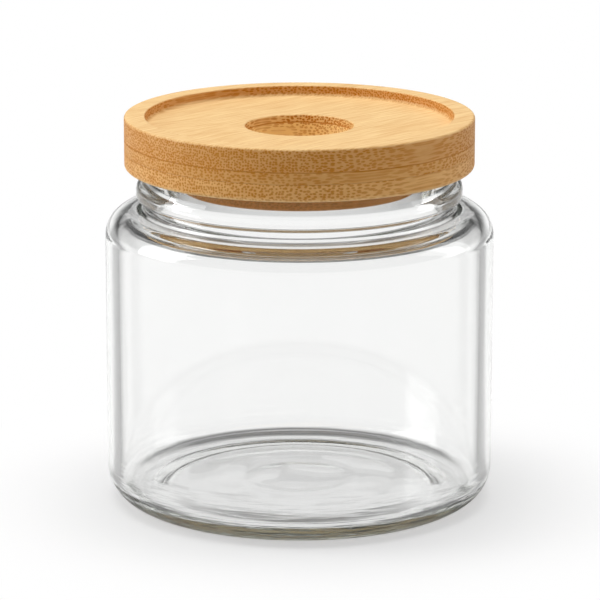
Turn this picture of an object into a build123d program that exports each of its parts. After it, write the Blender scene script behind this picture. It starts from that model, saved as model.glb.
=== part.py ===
"""Sourdough starter jar: a thick clear glass jar with a laminated bamboo lid.

Sizes are in millimetres. The origin is the middle of the jar's foot, +Z is up, and every piece
is round about the Z axis. The lid's three plies and its plug are glued and lift off together.
"""
import os

from build123d import *

# Glass body
JAR_RADIUS = 50.0               # outside of the straight wall
JAR_WALL = 3.6                  # thickness of the straight wall and of the shoulder
SHOULDER_HEIGHT = 76.35         # table to the top of the shoulder
SHOULDER_ROUND = 6.4            # outside, from the wall over to the shoulder
SHOULDER_STEP = 9.8             # from the outside of the wall in to the groove under the bead
INNER_SHOULDER_ROUND = 3.0      # inside, where the wall turns in under the shoulder
INNER_NECK_ROUND = 6.0          # inside, where the shoulder turns up into the neck

# Glass base
HEEL_ROUND = 9.0                # outside, from the wall down to the table
INNER_HEEL_ROUND = 2.5          # inside, from the wall to the floor
FLOOR_HEIGHT = 5.0              # table to the inside floor
FOOT_WIDTH = 3.0                # flat ring that the jar stands on
PUSH_UP_HEIGHT = 1.2            # how far the middle of the base stands clear of the table
PUSH_UP_SLOPE = 5.0             # width of the slope from the foot ring to the push-up
PUSH_UP_BLEND = 12.0            # radius that blends the slope into the push-up
FOOT_BLEND = 8.0                # radius that blends the foot ring into the slope

# Glass neck
NECK_WALL = 3.3                 # thickness at the groove
GROOVE_HEIGHT = 2.75            # height of the groove between the shoulder and the bead
GROOVE_FOOT_COVE = 0.8          # fillet between the shoulder and the groove
GROOVE_TOP_COVE = 0.4           # fillet between the groove and the bead's underside
BEAD_UNDER_FLAT = 0.06          # flat left on the bead's underside
BEAD_UNDER_ROUND = 1.3          # rounding of the bead's lower edge
BEAD_HEIGHT = 3.6               # bead's underside to the start of the tapered rim
BEAD_TOP_ROUND = 3.1            # rounding from the bead into the tapered rim
RIM_RISE = 4.7                  # height of the tapered rim
LIP_WALL = 2.4                  # thickness of the glass at the very top
LIP_ROUND = 1.0                 # rounding of both edges of the lip

# Bamboo board, made of three glued plies
LID_OVERHANG = 5.65             # from the lip's outside to the edge of the board
TOP_PLY = 5.9
MIDDLE_PLY = 3.0
BOTTOM_PLY = 4.55
BOARD_TOP_EDGE = 0.7            # rounding of the board's upper edge
BOARD_BOTTOM_EDGE = 1.1         # rounding of the board's lower edge
LID_RIM_WIDTH = 5.35            # raised rim around the turned recess
RECESS_DEPTH = 2.75
RECESS_COVE = 1.0               # fillet between the recess wall and its floor
RECESS_EDGE = 0.3               # rounding where the recess wall meets the raised rim
FINGER_HOLE_RADIUS = 13.9
FINGER_HOLE_EDGE = 0.4          # rounding of the hole's mouth

# Bamboo plug under the board. It sits loosely, so that a fermenting starter can vent.
PLUG_CLEARANCE = 1.3            # radial gap between the plug and the neck
PLUG_DEPTH = 5.2                # how far the plug reaches into the neck
PLUG_EDGE = 0.6                 # rounding of the plug's lower edge

# Radii and heights that follow from the sizes above
INSIDE_RADIUS = JAR_RADIUS - JAR_WALL
GROOVE_RADIUS = JAR_RADIUS - SHOULDER_STEP
NECK_RADIUS = GROOVE_RADIUS - NECK_WALL
BEAD_RADIUS = GROOVE_RADIUS + GROOVE_TOP_COVE + BEAD_UNDER_FLAT + BEAD_UNDER_ROUND
LIP_RADIUS = NECK_RADIUS + LIP_WALL
FOOT_OUTER = JAR_RADIUS - HEEL_ROUND
FOOT_INNER = FOOT_OUTER - FOOT_WIDTH
PUSH_UP_RADIUS = FOOT_INNER - PUSH_UP_SLOPE
BEAD_BOTTOM_Z = SHOULDER_HEIGHT + GROOVE_HEIGHT
BEAD_TOP_Z = BEAD_BOTTOM_Z + BEAD_HEIGHT
RIM_Z = BEAD_TOP_Z + RIM_RISE
INNER_SHOULDER_Z = SHOULDER_HEIGHT - JAR_WALL

BOARD_RADIUS = LIP_RADIUS + LID_OVERHANG
RECESS_RADIUS = BOARD_RADIUS - LID_RIM_WIDTH
BOTTOM_JOINT_Z = RIM_Z + BOTTOM_PLY
TOP_JOINT_Z = BOTTOM_JOINT_Z + MIDDLE_PLY
BOARD_TOP_Z = TOP_JOINT_Z + TOP_PLY
RECESS_Z = BOARD_TOP_Z - RECESS_DEPTH
PLUG_RADIUS = NECK_RADIUS - PLUG_CLEARANCE
PLUG_BOTTOM_Z = RIM_Z - PLUG_DEPTH

SHARP = 0.0


def lathe(corners):
    """Turn a closed outline of (radius, height, rounding) corners about the Z axis."""
    points = [(radius, height) for radius, height, _ in corners]
    roundings = [rounding for _, _, rounding in corners]
    outline = Plane.XZ * FilletPolyline(*points, radius=roundings, close=True)
    return revolve(profiles=make_face(outline), axis=Axis.Z, revolution_arc=360.0)


def glass_jar():
    """Body, base and neck are one blown piece: up the outside, over the lip and down the inside."""
    foot = [
        (0, PUSH_UP_HEIGHT, SHARP),
        (PUSH_UP_RADIUS, PUSH_UP_HEIGHT, PUSH_UP_BLEND),
        (FOOT_INNER, 0, FOOT_BLEND),
    ]
    outside = [
        (JAR_RADIUS, 0, HEEL_ROUND),
        (JAR_RADIUS, SHOULDER_HEIGHT, SHOULDER_ROUND),
        (GROOVE_RADIUS, SHOULDER_HEIGHT, GROOVE_FOOT_COVE),
        (GROOVE_RADIUS, BEAD_BOTTOM_Z, GROOVE_TOP_COVE),
        (BEAD_RADIUS, BEAD_BOTTOM_Z, BEAD_UNDER_ROUND),
        (BEAD_RADIUS, BEAD_TOP_Z, BEAD_TOP_ROUND),
        (LIP_RADIUS, RIM_Z, LIP_ROUND),
    ]
    inside = [
        (NECK_RADIUS, RIM_Z, LIP_ROUND),
        (NECK_RADIUS, INNER_SHOULDER_Z, INNER_NECK_ROUND),
        (INSIDE_RADIUS, INNER_SHOULDER_Z, INNER_SHOULDER_ROUND),
        (INSIDE_RADIUS, FLOOR_HEIGHT, INNER_HEEL_ROUND),
        (0, FLOOR_HEIGHT, SHARP),
    ]
    return lathe(foot + outside + inside)


def lid_top_ply():
    """Upper ply, with the turned recess and the mouth of the finger hole."""
    return lathe([
        (FINGER_HOLE_RADIUS, TOP_JOINT_Z, SHARP),
        (BOARD_RADIUS, TOP_JOINT_Z, SHARP),
        (BOARD_RADIUS, BOARD_TOP_Z, BOARD_TOP_EDGE),
        (RECESS_RADIUS, BOARD_TOP_Z, RECESS_EDGE),
        (RECESS_RADIUS, RECESS_Z, RECESS_COVE),
        (FINGER_HOLE_RADIUS, RECESS_Z, FINGER_HOLE_EDGE),
    ])


def lid_middle_ply():
    """Thin middle ply."""
    return lathe([
        (FINGER_HOLE_RADIUS, BOTTOM_JOINT_Z, SHARP),
        (BOARD_RADIUS, BOTTOM_JOINT_Z, SHARP),
        (BOARD_RADIUS, TOP_JOINT_Z, SHARP),
        (FINGER_HOLE_RADIUS, TOP_JOINT_Z, SHARP),
    ])


def lid_bottom_ply():
    """Lower ply, which rests on the glass lip."""
    return lathe([
        (FINGER_HOLE_RADIUS, RIM_Z, SHARP),
        (BOARD_RADIUS, RIM_Z, BOARD_BOTTOM_EDGE),
        (BOARD_RADIUS, BOTTOM_JOINT_Z, SHARP),
        (FINGER_HOLE_RADIUS, BOTTOM_JOINT_Z, SHARP),
    ])


def lid_plug():
    """Disc glued under the board. It centres the lid in the neck and closes the finger hole."""
    return lathe([
        (0, PLUG_BOTTOM_Z, SHARP),
        (PLUG_RADIUS, PLUG_BOTTOM_Z, PLUG_EDGE),
        (PLUG_RADIUS, RIM_Z, SHARP),
        (0, RIM_Z, SHARP),
    ])


PIECES = [glass_jar, lid_top_ply, lid_middle_ply, lid_bottom_ply, lid_plug]

os.makedirs("parts", exist_ok=True)
for piece in PIECES:
    solid = piece()
    solid.label = piece.__name__
    export_step(solid, f"parts/{piece.__name__}.step")
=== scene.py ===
"""Looks of the sourdough starter jar: clear soda-lime glass under a laminated bamboo lid.

Metres, in the frame of the CAD model: the foot's centre is the origin and +Z is up. Outlines are
written in millimetres, as a glass or wood turner would, and turned about the Z axis.
"""
import math

import bmesh
import bpy
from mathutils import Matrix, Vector


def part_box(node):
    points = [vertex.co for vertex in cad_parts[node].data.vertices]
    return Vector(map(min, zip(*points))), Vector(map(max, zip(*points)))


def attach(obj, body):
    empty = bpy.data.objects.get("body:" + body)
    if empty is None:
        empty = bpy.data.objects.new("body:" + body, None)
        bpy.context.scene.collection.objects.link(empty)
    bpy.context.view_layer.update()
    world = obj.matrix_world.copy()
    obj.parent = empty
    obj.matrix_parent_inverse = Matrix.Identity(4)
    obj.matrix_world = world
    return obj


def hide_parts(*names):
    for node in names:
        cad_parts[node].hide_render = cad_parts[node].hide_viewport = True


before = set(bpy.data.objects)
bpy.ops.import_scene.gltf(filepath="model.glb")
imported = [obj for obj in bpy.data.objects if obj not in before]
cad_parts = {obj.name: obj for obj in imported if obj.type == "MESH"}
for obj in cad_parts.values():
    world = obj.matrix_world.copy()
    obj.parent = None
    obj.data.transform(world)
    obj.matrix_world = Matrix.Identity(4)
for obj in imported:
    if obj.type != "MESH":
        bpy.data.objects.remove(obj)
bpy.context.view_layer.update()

MM = 0.001

# Camera, solved from the ellipses of the lid and the base in the photograph
PHOTO_SIZE = 600                # pixels, both ways
FOCAL_PIXELS = 3834.4
AXIS_PIXEL = 299.45             # the jar's axis, from the left edge of the photograph
CAMERA_TILT = 0.2419            # radians below the horizon
CAMERA_PLACE = (0.0, -0.96425, 0.2898)
SENSOR_WIDTH = 36.0
CLIP_START = 0.01
CLIP_END = 20.0

# Spin and rounding resolution
STEPS_GLASS = 256
STEPS_WOOD = 192
ARC_GLASS = 14
ARC_WOOD = 5
SMOOTH_ANGLE = math.radians(30)
WELD = 0.001 * MM


def low(name):
    return [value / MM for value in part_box(name)[0]]


def high(name):
    return [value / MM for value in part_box(name)[1]]


# Sizes that the CAD frame gives, in millimetres
JAR_RADIUS = high("glass_jar")[0]
RIM_Z = high("glass_jar")[2]
BOARD_RADIUS = high("lid_top_ply")[0]
BOARD_TOP_Z = high("lid_top_ply")[2]
TOP_JOINT_Z = low("lid_top_ply")[2]
BOTTOM_JOINT_Z = low("lid_middle_ply")[2]
PLUG_RADIUS = high("lid_plug")[0]
PLUG_BOTTOM_Z = low("lid_plug")[2]

# Sizes inside the glass outline, in millimetres, as in the CAD model
WALL = 3.6
HEEL_ROUND = 9.0
INNER_HEEL_ROUND = 2.5
FLOOR_Z = 5.0
FOOT_WIDTH = 3.0
PUSH_UP = 1.2
PUSH_UP_SLOPE = 5.0
PUSH_UP_BLEND = 12.0
FOOT_BLEND = 8.0
SHOULDER_Z = 76.35
SHOULDER_ROUND = 6.4
INNER_SHOULDER_ROUND = 3.0
INNER_NECK_ROUND = 6.0
GROOVE_RADIUS = 40.2
GROOVE_FOOT_COVE = 0.8
GROOVE_TOP_COVE = 0.4
BEAD_BOTTOM_Z = 79.1
BEAD_TOP_Z = 82.7
BEAD_RADIUS = 41.96
BEAD_UNDER_ROUND = 1.3
BEAD_TOP_ROUND = 3.1
NECK_RADIUS = 36.9
LIP_WALL = 2.4
LIP_ROUND = 1.0

# Sizes of the turned board, in millimetres
RECESS_RADIUS = 39.6
RECESS_Z = 98.1
RECESS_COVE = 1.0
RECESS_EDGE = 0.3
HOLE_RADIUS = 13.9
HOLE_EDGE = 0.4
TOP_EDGE = 0.7
BOTTOM_EDGE = 1.1
JOINT_EASE = 0.1                # hairline groove where two plies meet
PLUG_EDGE = 0.6
SHARP = 0.0

# Marks of pressing in the glass, in millimetres
DISC_EDGE = (13.5, 17.5)        # soft step where the gob first met the plunger
RING_EDGE = (26.5, 32.0)        # soft step where it spread to
BASE_MARKS = (6.0, 9.0)         # height over which the marks of the base give way to the wall's
HEEL_MARKS = (9.0, 13.0)        # height over which the streaks of the heel end
HEEL_INSIDE = (41.5, 43.0)      # radius over which they begin
BASE_SWAY = 20.0                # width of the slow unevenness of the base
STEP_SWAY = 3.0                 # how far it moves the soft steps
SWAY_SHARE = 2.5                # its own depth, against one step's
BASE_DEPTH = 0.12               # depth of a soft step
RIPPLE_DEPTH = 0.4
STREAK_DEPTH = 0.14
RIPPLES = (120, 120, 14)        # per metre, across and up the wall: about 8 mm wide
STREAKS = (45, 45, 700)         # per metre, around and up the heel: 1.4 mm high

# Bamboo, in millimetres
SHORT_FIBRE = (5.0, 0.42)       # length and width, on the sides
LONG_FIBRE = (11.0, 0.75)       # on the sanded faces
TONE_BAND = (45.0, 6.0, 3.0)    # light and dark bands: along the fibre, across it, and up
DRIFT = (18.0, 26.0)            # how far strands run before they wander: along and across
WANDER = (0.0, 3.0, 1.8)        # how far they wander
DOT_RADIUS_SHARE = 0.44         # of the spacing between vascular bundles
PORE_DEPTH = 0.06               # how far the open bundles sink
GLUE_LINE = (0.06, 0.28)        # a glue line's half width, dark and faded
WAVER_SCALE = 0.16              # of the noise that makes a glue line waver, per millimetre
WAVER = 0.5                     # how far it wavers up
GLUE_RISE = 0.25                # the middle of that
TOP_LINE = 0.6                  # darkness of the glue lines: upper, lower and in the finger hole
BOTTOM_LINE = 0.3
BORE_LINE = 0.7
BORE_LINE_Z = 96.15             # height of the glue line inside the finger hole
BORE_END = (0.35, 0.9)          # beyond the hole's radius, where its look gives way to the board's: its glue line, and its ground painted paler with bounce light
BORE_PLY_TONE_AND_PAINTED_BOUNCE = 0.26                # how much paler the bore is below its glue line: partly the lower plies' own paler tone, partly painted bounce light
BORE_PLY_TONE_AND_PAINTED_BOUNCE_EDGE = (-0.35, 0.1)   # from that line, where it turns paler

# Bamboo colours, sRGB
FACE_GROUND = "F7D59C"
TOP_GROUND = "E1AB6A"
MIDDLE_GROUND = "E3AE6A"
BOTTOM_GROUND = "ECB975"
# The bore's ground is painted paler than the plies' sides: painted bounce light inside the finger
# hole
BORE_GROUND_WITH_PAINTED_BOUNCE = "FEDFA0"
# The plug's ground is painted darker and more orange: painted shade, for the plug in shade under
# the lid
PLUG_GROUND_WITH_PAINTED_SHADE = "E2943E"
BUNDLE = "C27A1E"

# Light levels of the room that the glass shows, where 1 is white
WALL_WHITE = 0.985
FLAG_GREY = 0.43
FLAG_NEAR = (0.37, 0.52)        # radians from straight behind the jar, where a flag begins
FLAG_FAR = (0.7, 0.9)           # and where it ends
CEILING_GREY = 0.03
CEILING_RISE = (0.0, 0.2)       # sine of the elevation, over which the walls turn to ceiling
TABLE_GREY = 0.2
TABLE_DROP = (-0.4, -0.62)      # sine, over which the walls turn to shaded table
TABLE_WHITE = 0.8               # seen from high above
TABLE_BELOW = (-0.7, -0.86)     # sine, over which the table turns pale again
ROOM_FILL = 0.15                # soft light from all sides on the object

# Floor
FLOOR_RADIUS = 4.0
FLOOR_ALBEDO = (0.9, 0.9, 0.9, 1)
NEAR_WHITE = 0.52               # share of plain white in the floor next to the jar
SHADOW_REACH = (0.052, 0.105)   # metres from the axis, over which the floor turns to plain white

AIM = (0.0, 0.0, 0.05)          # the lamps point at the middle of the jar
LIGHT_BOUNCES = 24              # thick glass guides light around the heel by many reflections


def deselect_all():
    if bpy.context.object and bpy.context.object.mode != "OBJECT":
        bpy.ops.object.mode_set(mode="OBJECT")
    bpy.ops.object.select_all(action="DESELECT")


def select_vertex(mesh, radius, height):
    """Selects only the vertex of the outline that lies at that radius and height."""
    bpy.ops.mesh.select_all(action="DESELECT")
    shape = bmesh.from_edit_mesh(mesh)
    target = Vector((radius, 0.0, height)) * MM
    nearest = min(shape.verts, key=lambda vertex: (vertex.co - target).length)
    nearest.select_set(True)
    shape.select_flush_mode()
    bmesh.update_edit_mesh(mesh)


def tangent_length(before, corner, after, rounding):
    """How far from a corner an arc of that radius meets the two sides."""
    a = Vector((before[0] - corner[0], before[1] - corner[1])).normalized()
    b = Vector((after[0] - corner[0], after[1] - corner[1])).normalized()
    return rounding / math.tan(a.angle(b) / 2)


def lathe(name, corners, steps, arc_segments):
    """Turns a closed outline of (radius, height, rounding) corners about the Z axis.

    The outline is extruded from one vertex, its corners are rounded by vertex bevels, and it is
    spun. The side that lies on the axis, if there is one, is left out.
    """
    deselect_all()
    bpy.ops.mesh.primitive_plane_add(size=MM)
    piece = bpy.context.object
    piece.name = piece.data.name = name
    bpy.ops.object.mode_set(mode="EDIT")
    bpy.ops.mesh.select_mode(type="VERT")
    bpy.ops.mesh.select_all(action="SELECT")
    bpy.ops.mesh.merge(type="CENTER")
    bpy.ops.transform.translate(value=(corners[0][0] * MM, 0, corners[0][1] * MM))
    for before, after in zip(corners, corners[1:]):
        step = ((after[0] - before[0]) * MM, 0, (after[1] - before[1]) * MM)
        bpy.ops.mesh.extrude_region_move(TRANSFORM_OT_translate={"value": step})
    starts_off_axis = corners[0][0] > 0
    if starts_off_axis:
        select_vertex(piece.data, *corners[0][:2])
        shape = bmesh.from_edit_mesh(piece.data)
        last = Vector((corners[-1][0], 0.0, corners[-1][1])) * MM
        min(shape.verts, key=lambda vertex: (vertex.co - last).length).select_set(True)
        bmesh.update_edit_mesh(piece.data)
        bpy.ops.mesh.edge_face_add()
    for index, corner in enumerate(corners):
        if corner[2] > 0:
            before = corners[index - 1]
            after = corners[(index + 1) % len(corners)]
            select_vertex(piece.data, *corner[:2])
            offset = tangent_length(before, corner, after, corner[2]) * MM
            bpy.ops.mesh.bevel(offset=offset, offset_type="OFFSET", segments=arc_segments,
                               profile=0.5, affect="VERTICES", clamp_overlap=False)
    bpy.ops.mesh.select_all(action="SELECT")
    bpy.ops.mesh.spin(steps=steps, angle=2 * math.pi, center=(0, 0, 0), axis=(0, 0, 1))
    bpy.ops.mesh.select_all(action="SELECT")
    bpy.ops.mesh.remove_doubles(threshold=WELD)
    bpy.ops.mesh.normals_make_consistent(inside=False)
    bpy.ops.object.mode_set(mode="OBJECT")
    bpy.ops.object.transform_apply(location=True, rotation=True, scale=True)
    bpy.ops.object.shade_smooth_by_angle(angle=SMOOTH_ANGLE)
    bpy.ops.object.modifier_add(type="WEIGHTED_NORMAL")
    piece.modifiers[-1].keep_sharp = True
    piece.modifiers[-1].weight = 100
    bpy.ops.object.modifier_apply(modifier=piece.modifiers[-1].name)
    return piece


def linear(code):
    """An sRGB hex colour as the linear colour that the nodes use."""
    parts = [int(code[i:i + 2], 16) / 255 for i in (0, 2, 4)]
    lit = [c / 12.92 if c <= 0.04045 else ((c + 0.055) / 1.055) ** 2.4 for c in parts]
    return (*lit, 1.0)


def add(tree, kind, settings=None, links=None):
    """Adds one node, sets its properties and input values, and links its inputs."""
    made = tree.nodes.new(kind)
    for name, value in (settings or {}).items():
        if isinstance(name, int) or name in made.inputs:
            made.inputs[name].default_value = value
        else:
            setattr(made, name, value)
    for name, source in (links or {}).items():
        tree.links.new(source, made.inputs[name])
    return made


def new_material(name):
    """An empty node material, and the tree to fill."""
    material = bpy.data.materials.new(name)
    material.use_nodes = True
    material.node_tree.nodes.clear()
    return material, material.node_tree


def clear_glass():
    """Soda-lime glass, pressed and fire-polished: clear, with a faint green in long paths."""
    material, tree = new_material("clear_soda_lime_glass")
    place = add(tree, "ShaderNodeTexCoord")
    # Slow ripples that run up the wall, as a mould and plunger leave them
    stretched = add(tree, "ShaderNodeMapping", {"Scale": RIPPLES},
                    {"Vector": place.outputs["Object"]})
    ripple = add(tree, "ShaderNodeTexNoise", {"Scale": 1.0, "Detail": 1.5, "Roughness": 0.4},
                 {"Vector": stretched.outputs[0]})

    # Soft steps in the base, where the gob spread under the plunger, and a slow unevenness
    flat = add(tree, "ShaderNodeMapping", {"Scale": (1 / MM, 1 / MM, 0)},
               {"Vector": place.outputs["Object"]})
    radius = add(tree, "ShaderNodeVectorMath", {"operation": "LENGTH"}, {0: flat.outputs[0]})
    uneven = add(tree, "ShaderNodeTexNoise", {"Scale": 1 / BASE_SWAY, "Detail": 1.0},
                 {"Vector": flat.outputs[0]})
    spread = add(tree, "ShaderNodeMath", {"operation": "MULTIPLY_ADD", 1: STEP_SWAY},
                 {0: uneven.outputs[0], 2: radius.outputs["Value"]})
    disc = add(tree, "ShaderNodeMapRange",
               {"interpolation_type": "SMOOTHSTEP", "From Min": DISC_EDGE[0],
                "From Max": DISC_EDGE[1], "To Min": 1.0, "To Max": 0.0},
               {"Value": spread.outputs[0]})
    ring = add(tree, "ShaderNodeMapRange",
               {"interpolation_type": "SMOOTHSTEP", "From Min": RING_EDGE[0],
                "From Max": RING_EDGE[1], "To Min": 1.0, "To Max": 0.0},
               {"Value": spread.outputs[0]})
    steps = add(tree, "ShaderNodeMath", {"operation": "ADD"},
                {0: disc.outputs[0], 1: ring.outputs[0]})
    pressed = add(tree, "ShaderNodeMath", {"operation": "MULTIPLY_ADD", 1: SWAY_SHARE},
                  {0: uneven.outputs[0], 2: steps.outputs[0]})

    # The base's marks end where the wall's ripples begin
    spot = add(tree, "ShaderNodeSeparateXYZ", links={0: place.outputs["Object"]})
    base = add(tree, "ShaderNodeMapRange",
               {"From Min": BASE_MARKS[0] * MM, "From Max": BASE_MARKS[1] * MM,
                "To Min": 1.0, "To Max": 0.0},
               {"Value": spot.outputs[2]})
    base_height = add(tree, "ShaderNodeMath", {"operation": "MULTIPLY"},
                      {0: pressed.outputs[0], 1: base.outputs[0]})
    wall = add(tree, "ShaderNodeMapRange",
               {"From Min": BASE_MARKS[0] * MM, "From Max": BASE_MARKS[1] * MM},
               {"Value": spot.outputs[2]})
    upright = add(tree, "ShaderNodeMath", {"operation": "MULTIPLY"},
                  {0: ripple.outputs[0], 1: wall.outputs[0]})
    wall_bump = add(tree, "ShaderNodeBump", {"Strength": 0.1, "Distance": RIPPLE_DEPTH * MM},
                    {"Height": upright.outputs[0]})
    base_bump = add(tree, "ShaderNodeBump", {"Strength": 0.6, "Distance": BASE_DEPTH * MM},
                    {"Height": base_height.outputs[0], "Normal": wall_bump.outputs[0]})

    # Fine level streaks around the heel, where the glass chilled against the mould
    level = add(tree, "ShaderNodeMapping", {"Scale": STREAKS},
                {"Vector": place.outputs["Object"]})
    chill = add(tree, "ShaderNodeTexNoise", {"Scale": 1.0, "Detail": 2.0, "Roughness": 0.5},
                {"Vector": level.outputs[0]})
    outer = add(tree, "ShaderNodeMapRange",
                {"From Min": HEEL_INSIDE[0], "From Max": HEEL_INSIDE[1]},
                {"Value": radius.outputs["Value"]})
    below = add(tree, "ShaderNodeMapRange",
                {"From Min": HEEL_MARKS[0] * MM, "From Max": HEEL_MARKS[1] * MM,
                 "To Min": 1.0, "To Max": 0.0},
                {"Value": spot.outputs[2]})
    heel = add(tree, "ShaderNodeMath", {"operation": "MULTIPLY"},
               {0: outer.outputs[0], 1: below.outputs[0]})
    streaks = add(tree, "ShaderNodeMath", {"operation": "MULTIPLY"},
                  {0: chill.outputs[0], 1: heel.outputs[0]})
    bump = add(tree, "ShaderNodeBump", {"Strength": 1.0, "Distance": STREAK_DEPTH * MM},
               {"Height": streaks.outputs[0], "Normal": base_bump.outputs[0]})
    shader = add(tree, "ShaderNodeBsdfPrincipled",
                 {"Base Color": linear("FDFDFD"), "Roughness": 0.0, "IOR": 1.52,
                  "Transmission Weight": 1.0},
                 {"Normal": bump.outputs[0]})
    # Iron in the glass takes some red and blue: it shows where light runs along the glass
    tint = add(tree, "ShaderNodeVolumeAbsorption",
               {"Color": (0.895, 0.917, 0.88, 1), "Density": 22.0})
    add(tree, "ShaderNodeOutputMaterial",
        links={"Surface": shader.outputs[0], "Volume": tint.outputs[0]})
    return material


def strands(tree, section, spacing_mm):
    """A mask that is 1 inside vascular bundles: strands along the fibre, round in section."""
    spaced = add(tree, "ShaderNodeVectorMath", {"operation": "SCALE", "Scale": 1 / spacing_mm},
                 {0: section})
    cells = add(tree, "ShaderNodeTexVoronoi",
                {"voronoi_dimensions": "2D", "feature": "F1", "Scale": 1.0, "Randomness": 0.7},
                {"Vector": spaced.outputs[0]})
    # Bundles differ in size from cell to cell
    own = add(tree, "ShaderNodeSeparateColor", links={0: cells.outputs["Color"]})
    edge = add(tree, "ShaderNodeMapRange",
               {"To Min": DOT_RADIUS_SHARE * 0.75, "To Max": DOT_RADIUS_SHARE * 1.2},
               {"Value": own.outputs[0]})
    inside = add(tree, "ShaderNodeMath", {"operation": "DIVIDE"},
                 {0: cells.outputs["Distance"], 1: edge.outputs[0]})
    return add(tree, "ShaderNodeMapRange",
               {"interpolation_type": "SMOOTHSTEP", "From Min": 0.55, "From Max": 1.15,
                "To Min": 1.0, "To Max": 0.0},
               {"Value": inside.outputs[0]}).outputs[0]


def glue_line(tree, height, level_mm, strength):
    """A mask that is strongest at one height, for the thin dark line between two plies."""
    away = add(tree, "ShaderNodeMath", {"operation": "SUBTRACT", 1: level_mm}, {0: height})
    distance = add(tree, "ShaderNodeMath", {"operation": "ABSOLUTE"}, {0: away.outputs[0]})
    return add(tree, "ShaderNodeMapRange",
               {"interpolation_type": "SMOOTHSTEP", "From Min": GLUE_LINE[0],
                "From Max": GLUE_LINE[1], "To Min": strength, "To Max": 0.0},
               {"Value": distance.outputs[0]}).outputs[0]


def bamboo(name, fibre_turn, spacing_mm, ground, dot_share, seed):
    """Laminated bamboo under a thin clear oil.

    The fibres run level, at fibre_turn from +X. Vascular bundles are dark strands along them: dots
    on the end grain, dashes and fine streaks elsewhere, spacing_mm apart.
    """
    material, tree = new_material(name)
    place = add(tree, "ShaderNodeTexCoord")
    millimetres = add(tree, "ShaderNodeVectorMath", {"operation": "SCALE", "Scale": 1 / MM},
                      {0: place.outputs["Object"]})
    turned = add(tree, "ShaderNodeMapping", {"Rotation": (0, 0, -fibre_turn)},
                 {"Vector": millimetres.outputs[0]})
    # Strands wander a little as they run
    slow = add(tree, "ShaderNodeMapping",
               {"Scale": (1 / DRIFT[0], 1 / DRIFT[1], 1 / DRIFT[1]), "Location": (seed, 0, 0)},
               {"Vector": turned.outputs[0]})
    drift = add(tree, "ShaderNodeTexNoise", {"Scale": 1.0, "Detail": 1.0},
                {"Vector": slow.outputs[0]})
    wander = add(tree, "ShaderNodeVectorMath",
                 {"operation": "MULTIPLY_ADD", 1: WANDER, 2: (0, seed * 17, 0)},
                 {0: drift.outputs["Color"]})
    moved = add(tree, "ShaderNodeVectorMath", {"operation": "ADD"},
                {0: turned.outputs[0], 1: wander.outputs[0]})
    axes = add(tree, "ShaderNodeSeparateXYZ", links={0: moved.outputs[0]})
    section = add(tree, "ShaderNodeCombineXYZ", links={0: axes.outputs[1], 1: axes.outputs[2]})
    bundles = strands(tree, section.outputs[0], spacing_mm)

    # Dots show most on the end grain, and least on the sanded faces
    facing = add(tree, "ShaderNodeVectorMath",
                 {"operation": "DOT_PRODUCT",
                  1: (math.cos(fibre_turn), math.sin(fibre_turn), 0)},
                 {0: place.outputs["Normal"]})
    end_grain = add(tree, "ShaderNodeMath", {"operation": "ABSOLUTE"},
                    {0: facing.outputs["Value"]})
    up = add(tree, "ShaderNodeSeparateXYZ", links={0: place.outputs["Normal"]})
    level = add(tree, "ShaderNodeMath", {"operation": "ABSOLUTE"}, {0: up.outputs[2]})
    show = add(tree, "ShaderNodeMapRange",
               {"From Max": 0.6, "To Min": dot_share * 0.45, "To Max": dot_share},
               {"Value": end_grain.outputs[0]})
    show_level = add(tree, "ShaderNodeMix", {"data_type": "FLOAT", 3: dot_share * 0.16},
                     {0: level.outputs[0], 2: show.outputs[0]})
    dots = add(tree, "ShaderNodeMath", {"operation": "MULTIPLY"},
               {0: bundles, 1: show_level.outputs[0]})

    # Short fibres on the sides, and longer, wider streaks on the sanded faces
    short = add(tree, "ShaderNodeMapping",
                {"Scale": (1 / SHORT_FIBRE[0], 1 / SHORT_FIBRE[1], 1 / SHORT_FIBRE[1])},
                {"Vector": moved.outputs[0]})
    short_fibre = add(tree, "ShaderNodeTexNoise",
                      {"Scale": 1.0, "Detail": 3.0, "Roughness": 0.6},
                      {"Vector": short.outputs[0]})
    long = add(tree, "ShaderNodeMapping",
               {"Scale": (1 / LONG_FIBRE[0], 1 / LONG_FIBRE[1], 1 / LONG_FIBRE[1])},
               {"Vector": moved.outputs[0]})
    long_fibre = add(tree, "ShaderNodeTexNoise",
                     {"Scale": 1.0, "Detail": 4.0, "Roughness": 0.62},
                     {"Vector": long.outputs[0]})
    fibre = add(tree, "ShaderNodeMix", {"data_type": "FLOAT"},
                {0: level.outputs[0], 2: short_fibre.outputs[0], 3: long_fibre.outputs[0]})
    strength = add(tree, "ShaderNodeMapRange", {"To Min": 1.0, "To Max": 1.6},
                   {"Value": level.outputs[0]})
    fibre_share = add(tree, "ShaderNodeMapRange",
                      {"From Min": 0.38, "From Max": 0.68, "To Max": 0.2},
                      {"Value": fibre.outputs[0]})
    fibres = add(tree, "ShaderNodeMath", {"operation": "MULTIPLY"},
                 {0: fibre_share.outputs[0], 1: strength.outputs[0]})
    # Slow light and dark bands, weaker on the sanded faces
    bands = add(tree, "ShaderNodeMapping",
                {"Scale": tuple(1 / width for width in TONE_BAND),
                 "Location": (0, seed * 31, 0)},
                {"Vector": moved.outputs[0]})
    band = add(tree, "ShaderNodeTexNoise", {"Scale": 1.0, "Detail": 2.0},
               {"Vector": bands.outputs[0]})
    tone = add(tree, "ShaderNodeMapRange", {"From Min": 0.35, "From Max": 0.68, "To Max": 0.22},
               {"Value": band.outputs[0]})
    tone_level = add(tree, "ShaderNodeMapRange", {"To Min": 1.0, "To Max": 0.4},
                     {"Value": level.outputs[0]})
    shade = add(tree, "ShaderNodeMath", {"operation": "MULTIPLY"},
                {0: tone.outputs[0], 1: tone_level.outputs[0]})

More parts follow.
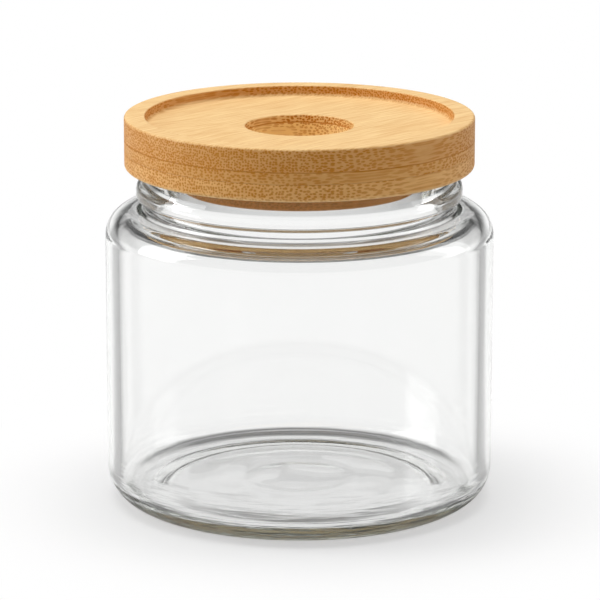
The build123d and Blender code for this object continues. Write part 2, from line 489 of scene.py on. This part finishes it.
    # Glue lines, which waver with the scraped edge. In the bore the upper one lies higher
    spot = add(tree, "ShaderNodeSeparateXYZ", links={0: millimetres.outputs[0]})
    waver = add(tree, "ShaderNodeTexNoise", {"Scale": WAVER_SCALE, "Detail": 2.0},
                {"Vector": millimetres.outputs[0]})
    height = add(tree, "ShaderNodeMath", {"operation": "MULTIPLY_ADD", 1: WAVER},
                 {0: waver.outputs[0], 2: spot.outputs[2]})
    flat = add(tree, "ShaderNodeMapping", {"Scale": (1, 1, 0)},
               {"Vector": millimetres.outputs[0]})
    radius = add(tree, "ShaderNodeVectorMath", {"operation": "LENGTH"}, {0: flat.outputs[0]})
    bore = add(tree, "ShaderNodeMapRange",
               {"From Min": HOLE_RADIUS + BORE_END[0], "From Max": HOLE_RADIUS + BORE_END[1],
                "To Min": 1.0, "To Max": 0.0},
               {"Value": radius.outputs["Value"]})
    upper = glue_line(tree, height.outputs[0], TOP_JOINT_Z + GLUE_RISE, TOP_LINE)
    lower = glue_line(tree, height.outputs[0], BOTTOM_JOINT_Z + GLUE_RISE, BOTTOM_LINE)
    rim_lines = add(tree, "ShaderNodeMath", {"operation": "MAXIMUM"}, {0: upper, 1: lower})
    bore_line = glue_line(tree, height.outputs[0], BORE_LINE_Z + GLUE_RISE, BORE_LINE)
    lines = add(tree, "ShaderNodeMix", {"data_type": "FLOAT"},
                {0: bore.outputs[0], 2: rim_lines.outputs[0], 3: bore_line})

    # How much of the dark bundle colour shows, from 0 to 1
    dark = add(tree, "ShaderNodeMath", {"operation": "ADD"},
               {0: fibres.outputs[0], 1: shade.outputs[0]})
    darker = add(tree, "ShaderNodeMath", {"operation": "ADD"},
                 {0: dark.outputs[0], 1: dots.outputs[0]})
    amount = add(tree, "ShaderNodeMath", {"operation": "ADD", "use_clamp": True},
                 {0: darker.outputs[0], 1: lines.outputs[0]})
    # The bore gets the paler ground: painted bounce light inside the finger hole
    side = add(tree, "ShaderNodeMix",
               {"data_type": "RGBA", 6: linear(ground), 7: linear(BORE_GROUND_WITH_PAINTED_BOUNCE)},
               {0: bore.outputs[0]})
    under = add(tree, "ShaderNodeMix", {"data_type": "RGBA", 7: linear(FACE_GROUND)},
                {0: level.outputs[0], 6: side.outputs[2]})
    # The plies below the bore's glue line are paler there, between their dots: partly their own
    # paler tone, partly painted bounce light in the finger hole
    ply_tone_and_painted_bounce_below_line = add(tree, "ShaderNodeMapRange",
                   {"From Min": BORE_LINE_Z + BORE_PLY_TONE_AND_PAINTED_BOUNCE_EDGE[0],
                    "From Max": BORE_LINE_Z + BORE_PLY_TONE_AND_PAINTED_BOUNCE_EDGE[1],
                    "To Min": BORE_PLY_TONE_AND_PAINTED_BOUNCE, "To Max": 0.0},
                   {"Value": spot.outputs[2]})
    ply_tone_and_painted_bounce_in_bore = add(tree, "ShaderNodeMath", {"operation": "MULTIPLY"},
                   {0: ply_tone_and_painted_bounce_below_line.outputs[0], 1: bore.outputs[0]})
    # pale is the bundle amount less that ply tone and painted bounce light
    pale = add(tree, "ShaderNodeMath", {"operation": "SUBTRACT", "use_clamp": True},
               {0: amount.outputs[0], 1: ply_tone_and_painted_bounce_in_bore.outputs[0]})
    colour = add(tree, "ShaderNodeMix", {"data_type": "RGBA", 7: linear(BUNDLE)},
                 {0: pale.outputs[0], 6: under.outputs[2]})
    # Oil fills the dense ground and leaves the open bundles duller and a little sunken
    rough = add(tree, "ShaderNodeMapRange", {"To Min": 0.44, "To Max": 0.6},
                {"Value": amount.outputs[0]})
    bump = add(tree, "ShaderNodeBump",
               {"Strength": 0.15, "Distance": PORE_DEPTH * MM, "invert": True},
               {"Height": amount.outputs[0]})
    shader = add(tree, "ShaderNodeBsdfPrincipled", {"IOR": 1.5, "Specular IOR Level": 0.2},
                 {"Base Color": colour.outputs[2], "Roughness": rough.outputs[0],
                  "Normal": bump.outputs[0]})
    add(tree, "ShaderNodeOutputMaterial", links={"Surface": shader.outputs[0]})
    return material


glass = clear_glass()
wood_top = bamboo("bamboo_top_ply", math.radians(44), 0.66, TOP_GROUND, 0.84, 0.31)
wood_middle = bamboo("bamboo_middle_ply", math.radians(24), 0.74, MIDDLE_GROUND, 0.7, 0.57)
wood_bottom = bamboo("bamboo_bottom_ply", math.radians(46), 0.74, BOTTOM_GROUND, 0.72, 0.83)
# The plug's darker, more orange ground is painted shade for its place under the lid
wood_plug = bamboo("bamboo_plug", math.radians(36), 0.7, PLUG_GROUND_WITH_PAINTED_SHADE, 0.6, 0.12)


def dress(piece, node, material, body):
    """The piece stands for a CAD node, moves with its body and carries one material."""
    piece.data.materials.clear()
    piece.data.materials.append(material)
    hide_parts(node)
    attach(piece, body)


def glass_jar():
    foot_outer = JAR_RADIUS - HEEL_ROUND
    foot_inner = foot_outer - FOOT_WIDTH
    corners = [
        (0, PUSH_UP, SHARP),
        (foot_inner - PUSH_UP_SLOPE, PUSH_UP, PUSH_UP_BLEND),
        (foot_inner, 0, FOOT_BLEND),
        (JAR_RADIUS, 0, HEEL_ROUND),
        (JAR_RADIUS, SHOULDER_Z, SHOULDER_ROUND),
        (GROOVE_RADIUS, SHOULDER_Z, GROOVE_FOOT_COVE),
        (GROOVE_RADIUS, BEAD_BOTTOM_Z, GROOVE_TOP_COVE),
        (BEAD_RADIUS, BEAD_BOTTOM_Z, BEAD_UNDER_ROUND),
        (BEAD_RADIUS, BEAD_TOP_Z, BEAD_TOP_ROUND),
        (NECK_RADIUS + LIP_WALL, RIM_Z, LIP_ROUND),
        (NECK_RADIUS, RIM_Z, LIP_ROUND),
        (NECK_RADIUS, SHOULDER_Z - WALL, INNER_NECK_ROUND),
        (JAR_RADIUS - WALL, SHOULDER_Z - WALL, INNER_SHOULDER_ROUND),
        (JAR_RADIUS - WALL, FLOOR_Z, INNER_HEEL_ROUND),
        (0, FLOOR_Z, SHARP),
    ]
    piece = lathe("starter_jar_glass", corners, STEPS_GLASS, ARC_GLASS)
    dress(piece, "glass_jar", glass, "jar")


def lid_plies():
    top = [
        (HOLE_RADIUS, TOP_JOINT_Z, SHARP),
        (BOARD_RADIUS, TOP_JOINT_Z, JOINT_EASE),
        (BOARD_RADIUS, BOARD_TOP_Z, TOP_EDGE),
        (RECESS_RADIUS, BOARD_TOP_Z, RECESS_EDGE),
        (RECESS_RADIUS, RECESS_Z, RECESS_COVE),
        (HOLE_RADIUS, RECESS_Z, HOLE_EDGE),
    ]
    middle = [
        (HOLE_RADIUS, BOTTOM_JOINT_Z, SHARP),
        (BOARD_RADIUS, BOTTOM_JOINT_Z, JOINT_EASE),
        (BOARD_RADIUS, TOP_JOINT_Z, JOINT_EASE),
        (HOLE_RADIUS, TOP_JOINT_Z, SHARP),
    ]
    bottom = [
        (HOLE_RADIUS, RIM_Z, SHARP),
        (BOARD_RADIUS, RIM_Z, BOTTOM_EDGE),
        (BOARD_RADIUS, BOTTOM_JOINT_Z, JOINT_EASE),
        (HOLE_RADIUS, BOTTOM_JOINT_Z, SHARP),
    ]
    dress(lathe("bamboo_board_top", top, STEPS_WOOD, ARC_WOOD),
          "lid_top_ply", wood_top, "lid")
    dress(lathe("bamboo_board_middle", middle, STEPS_WOOD, ARC_WOOD),
          "lid_middle_ply", wood_middle, "lid")
    dress(lathe("bamboo_board_bottom", bottom, STEPS_WOOD, ARC_WOOD),
          "lid_bottom_ply", wood_bottom, "lid")


def lid_plug():
    corners = [
        (0, PLUG_BOTTOM_Z, SHARP),
        (PLUG_RADIUS, PLUG_BOTTOM_Z, PLUG_EDGE),
        (PLUG_RADIUS, RIM_Z, SHARP),
        (0, RIM_Z, SHARP),
    ]
    dress(lathe("bamboo_plug", corners, STEPS_WOOD, ARC_WOOD),
          "lid_plug", wood_plug, "lid")


def pale_floor():
    """Matt white sweep. It keeps the jar's soft shadow, and is plain white away from the jar."""
    material, tree = new_material("matt_white_sweep")
    matt = add(tree, "ShaderNodeBsdfDiffuse", {"Color": FLOOR_ALBEDO})
    white = add(tree, "ShaderNodeEmission", {"Color": (1, 1, 1, 1), "Strength": 1.0})
    place = add(tree, "ShaderNodeTexCoord")
    radius = add(tree, "ShaderNodeVectorMath", {"operation": "LENGTH"},
                 {0: place.outputs["Object"]})
    plain = add(tree, "ShaderNodeMapRange",
                {"interpolation_type": "SMOOTHSTEP", "From Min": SHADOW_REACH[0],
                 "From Max": SHADOW_REACH[1], "To Min": NEAR_WHITE, "To Max": 1.0},
                {"Value": radius.outputs["Value"]})
    path = add(tree, "ShaderNodeLightPath")
    share = add(tree, "ShaderNodeMath", {"operation": "MULTIPLY"},
                {0: plain.outputs[0], 1: path.outputs["Is Camera Ray"]})
    mixed = add(tree, "ShaderNodeMixShader",
                links={0: share.outputs[0], 1: matt.outputs[0], 2: white.outputs[0]})
    add(tree, "ShaderNodeOutputMaterial", links={"Surface": mixed.outputs[0]})
    deselect_all()
    bpy.ops.mesh.primitive_circle_add(vertices=96, radius=FLOOR_RADIUS, fill_type="NGON")
    floor = bpy.context.object
    floor.name = "studio_floor"
    floor.data.materials.append(material)
    floor.visible_transmission = False


def studio_world():
    """The room: plain white to the eye and a soft fill on the object.

    The glass shows white walls, two grey flags behind the jar, a dim ceiling and a pale table.
    """
    world = bpy.data.worlds.new("studio_room")
    bpy.context.scene.world = world
    world.use_nodes = True
    tree = world.node_tree
    tree.nodes.clear()
    place = add(tree, "ShaderNodeTexCoord")
    way = add(tree, "ShaderNodeSeparateXYZ", links={0: place.outputs["Generated"]})
    # A grey flag on either side behind the jar draws its upright edges
    bearing = add(tree, "ShaderNodeMath", {"operation": "ARCTAN2"},
                  {0: way.outputs[0], 1: way.outputs[1]})
    beside = add(tree, "ShaderNodeMath", {"operation": "ABSOLUTE"}, {0: bearing.outputs[0]})
    flag = add(tree, "ShaderNodeMapRange",
               {"interpolation_type": "SMOOTHSTEP", "From Min": FLAG_NEAR[0],
                "From Max": FLAG_NEAR[1], "To Min": WALL_WHITE, "To Max": FLAG_GREY},
               {"Value": beside.outputs[0]})
    past = add(tree, "ShaderNodeMapRange",
               {"interpolation_type": "SMOOTHSTEP", "From Min": FLAG_FAR[0],
                "From Max": FLAG_FAR[1]},
               {"Value": beside.outputs[0]})
    walls = add(tree, "ShaderNodeMix", {"data_type": "FLOAT", 3: WALL_WHITE},
                {0: past.outputs[0], 2: flag.outputs[0]})
    # The ceiling is dim between the softboxes. The table is grey in the shade near the jar
    ceiling = add(tree, "ShaderNodeMapRange",
                  {"interpolation_type": "SMOOTHSTEP", "From Min": CEILING_RISE[0],
                   "From Max": CEILING_RISE[1]},
                  {"Value": way.outputs[2]})
    above = add(tree, "ShaderNodeMix", {"data_type": "FLOAT", 3: CEILING_GREY},
                {0: ceiling.outputs[0], 2: walls.outputs[0]})
    table = add(tree, "ShaderNodeMapRange",
                {"interpolation_type": "SMOOTHSTEP", "From Min": TABLE_DROP[0],
                 "From Max": TABLE_DROP[1]},
                {"Value": way.outputs[2]})
    below = add(tree, "ShaderNodeMapRange",
                {"interpolation_type": "SMOOTHSTEP", "From Min": TABLE_BELOW[0],
                 "From Max": TABLE_BELOW[1], "To Min": TABLE_GREY, "To Max": TABLE_WHITE},
                {"Value": way.outputs[2]})
    around = add(tree, "ShaderNodeMix", {"data_type": "FLOAT"},
                 {0: table.outputs[0], 2: above.outputs[0], 3: below.outputs[0]})
    path = add(tree, "ShaderNodeLightPath")
    seen = add(tree, "ShaderNodeMath", {"operation": "MAXIMUM"},
               {0: path.outputs["Is Transmission Ray"], 1: path.outputs["Is Glossy Ray"]})
    lit = add(tree, "ShaderNodeMix", {"data_type": "FLOAT", 2: ROOM_FILL},
              {0: seen.outputs[0], 3: around.outputs[0]})
    shown = add(tree, "ShaderNodeMix", {"data_type": "FLOAT", 3: 1.0},
                {0: path.outputs["Is Camera Ray"], 2: lit.outputs[0]})
    room = add(tree, "ShaderNodeBackground", {"Color": (1, 1, 1, 1)},
               {"Strength": shown.outputs[0]})
    add(tree, "ShaderNodeOutputWorld", links={"Surface": room.outputs[0]})


def softbox(name, place, width, height, watts, mirrored=True):
    """A rectangular area lamp, turned towards the jar. The glass mirrors it or not."""
    lamp = bpy.data.lights.new(name, "AREA")
    lamp.shape = "RECTANGLE"
    lamp.size = width
    lamp.size_y = height
    lamp.energy = watts
    lamp_object = bpy.data.objects.new(name, lamp)
    bpy.context.scene.collection.objects.link(lamp_object)
    lamp_object.location = place
    lamp_object.visible_glossy = lamp_object.visible_transmission = mirrored
    heading = Vector(AIM) - Vector(place)
    lamp_object.rotation_euler = heading.to_track_quat("-Z", "Y").to_euler()


def camera():
    data = bpy.data.cameras.new("photo_camera")
    data.sensor_width = SENSOR_WIDTH
    data.lens = SENSOR_WIDTH * FOCAL_PIXELS / PHOTO_SIZE
    data.shift_x = (PHOTO_SIZE / 2 - AXIS_PIXEL) / PHOTO_SIZE
    data.clip_start = CLIP_START
    data.clip_end = CLIP_END
    camera_object = bpy.data.objects.new("photo_camera", data)
    bpy.context.scene.collection.objects.link(camera_object)
    camera_object.location = CAMERA_PLACE
    camera_object.rotation_euler = (math.pi / 2 - CAMERA_TILT, 0, 0)
    bpy.context.scene.camera = camera_object


camera()
glass_jar()
lid_plies()
lid_plug()
pale_floor()
studio_world()
softbox("softbox_overhead", (-0.03, 0.05, 0.95), 0.9, 0.9, 8.5, mirrored=False)
softbox("softbox_left", (-0.9, 0.05, 0.42), 0.5, 0.8, 4.7)
softbox("softbox_right", (0.9, 0.25, 0.42), 0.4, 0.8, 1.6)
softbox("softbox_behind", (0.0, 1.5, 0.52), 0.6, 0.15, 0.12)

scene = bpy.context.scene
scene.view_settings.view_transform = "Standard"
scene.cycles.use_denoising = True
scene.cycles.max_bounces = LIGHT_BOUNCES
scene.cycles.transmission_bounces = LIGHT_BOUNCES
scene.cycles.glossy_bounces = LIGHT_BOUNCES
scene.cycles.transparent_max_bounces = 16
